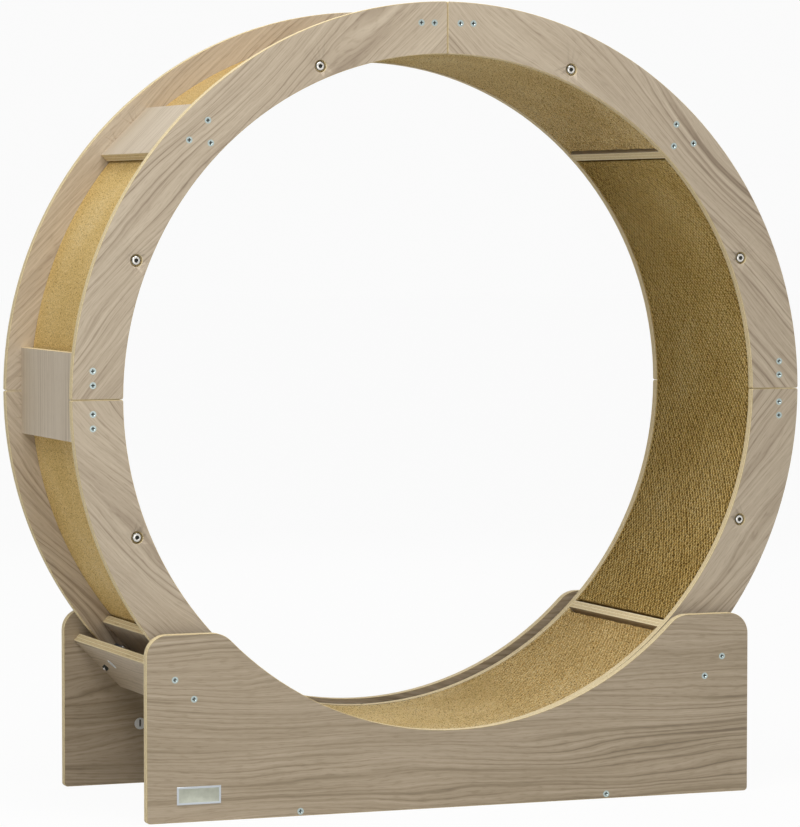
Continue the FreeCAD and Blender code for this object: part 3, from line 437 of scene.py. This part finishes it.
def corrugated_card(name, tones, cell_shade_tones, liner_tone):
    """Corrugated card: unbleached kraft paper, dry, matt and pitted. The cut edges of the
    paper are paler than its smooth liner. The cells between them get painted shade, darker towards
    their floors."""
    material, tree, output = new_material(name)
    coords = add_node(tree, "TexCoord")
    from_axle = add_node(tree, "Mapping", [
        ("Vector", coords.outputs["Object"]), ("Location", (0.0, 0.0, -WHEEL_MIDDLE.z)),
        ("Scale", (1.0, 0.0, 1.0)),
    ])
    reach = add_node(tree, "VectorMath", [(0, from_axle.outputs[0])], operation="LENGTH")
    # Painted shade in the cells: the paper darkens with depth below the track, through the cell
    # shade tones.
    cell_place = add_node(tree, "MapRange", [
        ("Value", reach.outputs["Value"]), ("From Min", PAD_INNER - CELL_MOUTH),
        ("From Max", PAD_INNER + CELL_DEPTH),
    ])
    painted_cell_shade = add_node(tree, "ValToRGB", [("Fac", cell_place.outputs["Result"])],
                       stops=list(zip((0.14, 0.32, 1.0), cell_shade_tones)))
    is_track = add_node(tree, "Math", [
        (0, reach.outputs["Value"]), (1, PAD_INNER + 2 * CELL_DEPTH),
    ], operation="LESS_THAN")
    fuzz = add_node(tree, "TexNoise", [
        ("Vector", coords.outputs["Object"]), ("Scale", 430.0), ("Detail", 3.0),
        ("Roughness", 0.65),
    ])
    blotch = add_node(tree, "TexNoise", [
        ("Vector", coords.outputs["Object"]), ("Scale", 9.0), ("Detail", 4.0),
    ])
    tone = add_node(tree, "Math", [
        (0, fuzz.outputs["Fac"]), (1, 0.70), (2, 0.0),
    ], operation="MULTIPLY_ADD")
    tone = add_node(tree, "Math", [(0, blotch.outputs["Fac"]), (1, 0.30), (2, tone.outputs[0])],
                    operation="MULTIPLY_ADD")
    paper = add_node(tree, "ValToRGB", [
        ("Fac", tone.outputs[0]),
    ], stops=list(zip((0.34, 0.5, 0.66), tones)))
    pits = add_node(tree, "TexNoise", [
        ("Vector", coords.outputs["Object"]), ("Scale", 560.0), ("Detail", 1.0),
    ])
    pitted = add_node(tree, "ValToRGB", [("Fac", pits.outputs["Fac"])], stops=[
        (0.30, "#A59169"), (0.44, "#FFFFFF"),
    ])
    liner = add_node(tree, "ValToRGB", [("Fac", is_track.outputs[0])], stops=[
        (0.0, liner_tone), (1.0, "#FFFFFF"),
    ])
    paper = add_node(tree, "Mix", [
        (0, 1.0), (6, paper.outputs["Color"]), (7, pitted.outputs["Color"]),
    ], data_type="RGBA", blend_type="MULTIPLY")
    paper = add_node(tree, "Mix", [
        (0, is_track.outputs[0]), (6, paper.outputs[2]), (7, painted_cell_shade.outputs["Color"]),
    ], data_type="RGBA", blend_type="MULTIPLY")
    paper = add_node(tree, "Mix", [(0, 1.0), (6, paper.outputs[2]), (7, liner.outputs["Color"])],
                     data_type="RGBA", blend_type="MULTIPLY")
    nap = add_node(tree, "Bump", [
        ("Strength", 0.8), ("Distance", 0.0007), ("Height", fuzz.outputs["Fac"]),
    ])
    surface = add_node(tree, "BsdfPrincipled", [
        ("Base Color", paper.outputs[2]), ("Roughness", 0.9), ("Specular IOR Level", 0.25),
        ("Normal", nap.outputs[0]),
    ])
    tree.links.new(surface.outputs[0], output.inputs["Surface"])
    return material


# The upper and lower pads get a paler copy of the same card, with paler cells: painted light,
# because they are lit more brightly than the two at the sides.
open_card = corrugated_card("corrugated_kraft_card", ("#CBAE66", "#F5DB92", "#FFEFBA"),
                            ("#FFFFFF", "#C2B698", "#74684C"), "#E6DCD3")
top_bottom_card_painted_light = corrugated_card("corrugated_card_painted_light", ("#D9C083", "#F4E0AA", "#FEF1CA"),
                             ("#FFFFFF", "#F0E9D9", "#C9BD9F"), "#D4C2A4")
CARDS = {"right": open_card, "top": top_bottom_card_painted_light, "left": open_card, "bottom": top_bottom_card_painted_light}

chance = random.Random(7)
pad_half_width = pad_high.y
# How far each pad's first and last row are torn back, going anticlockwise. The tear fades
# out over a few rows.
TORN_ENDS = {
    "right": (0.0030, 0.0026), "top": (0.0046, 0.0030),
    "left": (0.0034, 0.0034), "bottom": (0.0034, 0.0056),
}
TORN_ROWS = 5
# How far a row is out of step with its neighbours, and a cell with its row, as shares of
# the pitch.
WAVE_STEP = 0.25
WAVE_WANDER = 0.2
END_ROW_SLACK = (0.0, 0.26)
ROW_SLACK = (-0.22, 0.22)
# How squarely the track's faces look to the axle at least, and how far out they lie at most.
TRACK_SQUARENESS = 0.9
TRACK_REACH = PAD_INNER + 0.001
strips = round(2 * PAD_END_ANGLE * PAD_INNER / STRIP_PITCH)
waves = round(2 * pad_half_width / WAVE_PITCH)
for joint, angle in JOINTS.items():
    node = "scratch_pad_" + joint
    bpy.ops.object.select_all(action="DESELECT")
    bpy.ops.mesh.primitive_grid_add(x_subdivisions=1, y_subdivisions=waves, size=1.0)
    piece = bpy.context.object
    piece.name = node + "_card"
    # The grid stands on edge at the pad's first end: one cell deep, and many cells across.
    for vertex in piece.data.vertices:
        depth = PAD_INNER if vertex.co.x < 0 else PAD_OUTER
        place = WHEEL_MIDDLE + radial(angle - math.degrees(PAD_END_ANGLE)) * depth
        vertex.co = Vector((place.x, 2 * vertex.co.y * pad_half_width, place.z))
    bpy.ops.object.mode_set(mode="EDIT")
    bpy.ops.mesh.select_mode(type="FACE")
    bpy.ops.mesh.select_all(action="SELECT")
    bpy.ops.mesh.spin(
        steps=strips, angle=2 * PAD_END_ANGLE, center=WHEEL_MIDDLE, axis=(0.0, 1.0, 0.0),
    )
    bpy.ops.mesh.select_all(action="SELECT")
    bpy.ops.mesh.remove_doubles(threshold=MERGE_GAP)
    bpy.ops.mesh.normals_make_consistent(inside=False)
    bpy.ops.object.mode_set(mode="OBJECT")
    # Every other row is moved half a wave along, each wave and strip a little out of step,
    # and the rows near both ends are torn back unevenly.
    for vertex in piece.data.vertices:
        arm = vertex.co - WHEEL_MIDDLE
        reach_here = math.hypot(arm.x, arm.z)
        is_back = reach_here > (PAD_INNER + PAD_OUTER) / 2
        is_side = abs(vertex.co.y) > pad_half_width - WAVE_PITCH / 2
        if is_back or is_side:
            continue
        turned = math.degrees(math.atan2(arm.z, arm.x)) - angle
        turned = math.radians((turned + 180.0) % 360.0 - 180.0)
        row = round((turned + PAD_END_ANGLE) / (2 * PAD_END_ANGLE) * strips)
        out_of_step = chance.uniform(-WAVE_WANDER, WAVE_WANDER)
        vertex.co.y += WAVE_PITCH * ((WAVE_STEP if row % 2 else -WAVE_STEP) + out_of_step)
        from_end = min(row, strips - row)
        at_start = row < strips / 2
        torn = TORN_ENDS[joint][0 if at_start else 1] * max(0.0, 1 - from_end / TORN_ROWS)
        slack = END_ROW_SLACK if from_end == 0 else ROW_SLACK
        torn += chance.uniform(*slack) * STRIP_PITCH
        turned += torn / PAD_INNER * (1 if at_start else -1)
        place = WHEEL_MIDDLE + radial(angle + math.degrees(turned)) * PAD_INNER
        vertex.co = Vector((place.x, vertex.co.y, place.z))
    for face in piece.data.polygons:
        arm = face.center - WHEEL_MIDDLE
        inward = -Vector((arm.x, 0.0, arm.z)).normalized()
        is_near = math.hypot(arm.x, arm.z) < TRACK_REACH
        face.select = face.normal.dot(inward) > TRACK_SQUARENESS and is_near
    bpy.ops.object.mode_set(mode="EDIT")
    bpy.ops.mesh.quads_convert_to_tris(quad_method="SHORTEST_DIAGONAL")
    bpy.ops.mesh.inset(thickness=CELL_WALL, depth=-CELL_DEPTH, use_individual=True)
    bpy.ops.object.mode_set(mode="OBJECT")
    piece.data.materials.append(CARDS[joint])
    stands_for(piece, node, "wheel")


# --- Base panels. Two side panels, two slanted cross panels and the floor board, cut from
# the same faced plywood. The print runs along each panel.

BASE_BOARDS = {
    "front_side_panel": (Vector((0.0, 1.0, 0.0)), Vector((1.0, 0.0, 0.0)), 51.2),
    "back_side_panel": (Vector((0.0, 1.0, 0.0)), Vector((1.0, 0.0, 0.0)), 55.9),
    "left_cross_panel": (radial(225.0), Vector((0.0, 1.0, 0.0)), 61.3),
    "right_cross_panel": (radial(315.0), Vector((0.0, 1.0, 0.0)), 64.8),
    "floor_board": (Vector((0.0, 0.0, 1.0)), Vector((1.0, 0.0, 0.0)), 69.1),
}
base_laminate = printed_oak(
    "printed_oak_laminate_brown", ("#82725D", "#9B8B72", "#AF9E86", "#C2B29B"), 0.075, 0.009,
)
for node, (through, grain, shift) in BASE_BOARDS.items():
    piece = copy_of(node, node + "_board")
    face_board(piece, base_laminate, through, grain, shift)
    stands_for(piece, node, "base")


# --- Screws, bolts, nuts and sleeves. Zinc-plated wood screws with a cross recess, nickel-
# plated button head bolts with a hexagon socket, and turned steel tubes and bushes.

def metal(name, code, roughness, scratch):
    """A plated steel: a hue, a roughness that varies a little, and fine turning marks."""
    material, tree, output = new_material(name)
    coords = add_node(tree, "TexCoord")
    smear = add_node(tree, "TexNoise", [
        ("Vector", coords.outputs["Object"]), ("Scale", 300.0), ("Detail", 3.0),
    ])
    haze = add_node(tree, "MapRange", [
        ("Value", smear.outputs["Fac"]), ("To Min", 0.7 * roughness), ("To Max", 1.3 * roughness),
    ])
    marks = add_node(tree, "TexNoise", [("Vector", coords.outputs["Object"]), ("Scale", 2200.0)])
    relief = add_node(tree, "Bump", [
        ("Strength", scratch), ("Distance", 0.0001), ("Height", marks.outputs["Fac"]),
    ])
    surface = add_node(tree, "BsdfPrincipled", [
        ("Base Color", linear(code)), ("Metallic", 1.0), ("Roughness", haze.outputs["Result"]),
        ("Normal", relief.outputs[0]),
    ])
    tree.links.new(surface.outputs[0], output.inputs["Surface"])
    return material


zinc = metal("bright_zinc_plate", "#B2BFBC", 0.33, 0.2)
nickel = metal("polished_nickel_plate", "#D2CFC9", 0.13, 0.04)
turned_steel = metal("turned_zinc_steel", "#B9BCBE", 0.34, 0.2)
ground_steel = metal("ground_bearing_steel", "#AEB0B2", 0.22, 0.1)


def clouded_finish(name, scale, detail, stops, finish):
    """A smooth material, clouded between two tones. Finish holds its other sockets' values."""
    material, tree, output = new_material(name)
    coords = add_node(tree, "TexCoord")
    clouds = add_node(tree, "TexNoise", [
        ("Vector", coords.outputs["Object"]), ("Scale", scale), ("Detail", detail),
    ])
    tone = add_node(tree, "ValToRGB", [("Fac", clouds.outputs["Fac"])], stops=stops)
    surface = add_node(tree, "BsdfPrincipled", [("Base Color", tone.outputs["Color"])] + finish)
    tree.links.new(surface.outputs[0], output.inputs["Surface"])
    return material


# Dark steel. In the drive sockets it is painted shade in the recesses; the guide nuts are made of
# it too.
socket_shade = clouded_finish(
    "dark_steel_painted_socket_shade", 900.0, 2.0, [(0.3, "#2C2E2A"), (0.7, "#4A4D47")],
    [("Metallic", 0.6), ("Roughness", 0.55)],
)

FASTENERS = [
    ("slat_screws", "wheel", zinc, "zinc_screw_steel"),
    ("base_screws", "base", zinc, "zinc_screw_steel"),
    ("tie_bolts", "wheel", nickel, "nickel_bolt_steel"),
    ("axle_bolts", "base", nickel, "nickel_bolt_steel"),
    ("guide_bolts", "base", nickel, "nickel_bolt_steel"),
    ("tie_tubes", "wheel", turned_steel, "zinc_turned_steel"),
    ("axle_inserts", "base", turned_steel, "zinc_turned_steel"),
    ("axle_spacers", "base", turned_steel, "zinc_turned_steel"),
    ("guide_bushes", "base", turned_steel, "zinc_turned_steel"),
    ("guide_nuts", "base", socket_shade, "zinc_turned_steel"),
    ("bearing_inner_races", "base", ground_steel, "bearing_steel"),
]


# A socket starts and ends this far below its head's top, and its walls are this far apart at
# most. The ray that looks for the other wall starts just off the face.
SOCKET_TOP = 0.0002
SOCKET_FLOOR = 0.0030
SOCKET_WIDTH = 0.0055
RAY_START = 0.0001
OUTWARD_SQUARENESS = 0.7


def paint_socket_shade(piece):
    """Finds the drive sockets in the outward heads of a set of fasteners that lie along Y: the
    faces that look out from below a head's top, or that face another wall close by. They get the
    dark steel as painted shade in the recesses."""
    piece.data.materials.append(socket_shade)
    bpy.context.view_layer.update()
    head_top = max(abs(vertex.co.y) for vertex in piece.data.vertices)
    for face in piece.data.polygons:
        depth = head_top - abs(face.center.y)
        if not SOCKET_TOP < depth < SOCKET_FLOOR:
            continue
        looks_out = face.normal.y * face.center.y / abs(face.center.y) > OUTWARD_SQUARENESS
        is_floor = looks_out and depth > SOCKET_FLOOR / 4
        start = face.center + face.normal * RAY_START
        if is_floor or piece.ray_cast(start, face.normal, distance=SOCKET_WIDTH)[0]:
            face.material_index = 1


for node, body, material, slot in FASTENERS:
    piece = copy_of(node, node + "_set")
    piece.data.materials.append(material)
    if node in ("slat_screws", "base_screws", "tie_bolts"):
        paint_socket_shade(piece)
    stands_for(piece, node, body)


# --- Rollers. Rubber tyres moulded round sealed bearings carry the rings from below, and
# turned nylon rollers steer them from inside.

rubber, tree, output = new_material("moulded_black_rubber")
coords = add_node(tree, "TexCoord")
bloom = add_node(tree, "TexNoise", [
    ("Vector", coords.outputs["Object"]), ("Scale", 160.0), ("Detail", 4.0),
])
tone = add_node(tree, "ValToRGB", [("Fac", bloom.outputs["Fac"])], stops=[
    (0.3, "#1F1F1F"), (0.7, "#303030"),
])
grain_marks = add_node(tree, "Bump", [
    ("Strength", 0.2), ("Distance", 0.0002), ("Height", bloom.outputs["Fac"]),
])
surface = add_node(tree, "BsdfPrincipled", [
    ("Base Color", tone.outputs["Color"]), ("Roughness", 0.62), ("Normal", grain_marks.outputs[0]),
])
tree.links.new(surface.outputs[0], output.inputs["Surface"])

nylon = clouded_finish(
    "turned_black_nylon", 90.0, 3.0, [(0.3, "#262627"), (0.7, "#353536")],
    [("Roughness", 0.42)],
)

for corner in ("front_left", "front_right", "back_left", "back_right"):
    for kind, material, slot in (
        ("roller_tyre_", rubber, "roller_rubber"),
        ("bearing_shell_", ground_steel, "bearing_steel"),
        ("bearing_balls_", ground_steel, "bearing_steel"),
    ):
        piece = copy_of(kind + corner, kind + corner + "_part")
        piece.data.materials.append(material)
        stands_for(piece, kind + corner, "carrying_roller_" + corner)
    node = "guide_roller_" + corner
    piece = copy_of(node, node + "_part")
    piece.data.materials.append(nylon)
    stands_for(piece, node, "side_guide_" + corner)


# --- Name plate and assembly labels. A bare pressed plate with a bevelled border, and two
# glossy paper labels that carry the numbers for putting the base together.

plate_metal, tree, output = new_material("satin_pressed_aluminium")
coords = add_node(tree, "TexCoord")
brush = stretched_noise(tree, coords.outputs["Object"], (40.0, 40.0, 2600.0), 2.0)
haze = add_node(tree, "MapRange", [("Value", brush), ("To Min", 0.22), ("To Max", 0.40)])
relief = add_node(tree, "Bump", [("Strength", 0.1), ("Distance", 0.0001), ("Height", brush)])
surface = add_node(tree, "BsdfPrincipled", [
    ("Base Color", linear("#C6CCD0")), ("Metallic", 1.0), ("Roughness", haze.outputs["Result"]),
    ("Normal", relief.outputs[0]),
])
tree.links.new(surface.outputs[0], output.inputs["Surface"])

plate_field = clouded_finish(
    "lacquered_plate_field", 140.0, 3.0, [(0.35, "#B2B5A6"), (0.65, "#BDC0B1")],
    [("Metallic", 0.35), ("Roughness", 0.38)],
)

BORDER_FLAT = 0.0010
FRONT_SQUARENESS = 0.99
FRONT_DEPTH = 0.0001
BORDER_STEP = 0.0006
piece = copy_of("name_plate", "bare_name_plate")
piece.data.materials.append(plate_metal)
piece.data.materials.append(plate_field)
bpy.ops.object.select_all(action="DESELECT")
bpy.context.view_layer.objects.active = piece
piece.select_set(True)
plate_front = min(vertex.co.y for vertex in piece.data.vertices)
bpy.ops.object.mode_set(mode="EDIT")
bpy.ops.mesh.select_mode(type="FACE")
bpy.ops.mesh.select_all(action="DESELECT")
bpy.ops.object.mode_set(mode="OBJECT")
for face in piece.data.polygons:
    is_front = face.center.y < plate_front + FRONT_DEPTH
    face.select = face.normal.y < -FRONT_SQUARENESS and is_front
bpy.ops.object.mode_set(mode="EDIT")
bpy.ops.mesh.inset(thickness=BORDER_FLAT, depth=0.0)
bpy.ops.mesh.inset(thickness=BORDER_STEP, depth=-BORDER_STEP)
bpy.ops.object.mode_set(mode="OBJECT")
for face in piece.data.polygons:
    face.material_index = 1 if face.select else 0
stands_for(piece, "name_plate", "base")

label_paper = clouded_finish(
    "glossy_white_label", 700.0, 2.0, [(0.3, "#ECF1F3"), (0.7, "#F6FAFB")],
    [("Roughness", 0.3)],
)

label_ink = clouded_finish(
    "black_label_ink", 1500.0, 2.0, [(0.3, "#121314"), (0.7, "#26282A")],
    [("Roughness", 0.4)],
)

DIGIT_SIZE = 0.0125
DIGIT_WEIGHT = DIGIT_SIZE / 30
INK_HEIGHT = 0.00005
piece = copy_of("assembly_discs", "assembly_labels")
piece.data.materials.append(label_paper)
for facing in (Vector((0.0, -1.0, 0.0)), radial(225.0)):
    tops = [face for face in piece.data.polygons if face.normal.dot(facing) > FRONT_SQUARENESS]
    area = sum(face.area for face in tops)
    middle = sum((face.center * face.area for face in tops), Vector()) / area
    bpy.ops.object.select_all(action="DESELECT")
    turned = facing.to_track_quat("Z", "Y").to_euler()
    bpy.ops.object.text_add(location=middle + facing * INK_HEIGHT, rotation=turned)
    digit = bpy.context.object
    digit.data.body = "1"
    digit.data.align_x = "CENTER"
    digit.data.align_y = "CENTER"
    digit.data.size = DIGIT_SIZE
    digit.data.extrude = INK_HEIGHT
    digit.data.offset = DIGIT_WEIGHT
    bpy.ops.object.convert(target="MESH")
    digit = bpy.context.object
    bpy.ops.object.transform_apply(location=True, rotation=True, scale=True)
    digit.data.materials.append(label_ink)
    piece.select_set(True)
    bpy.context.view_layer.objects.active = piece
    bpy.ops.object.join()
stands_for(piece, "assembly_discs", "base")
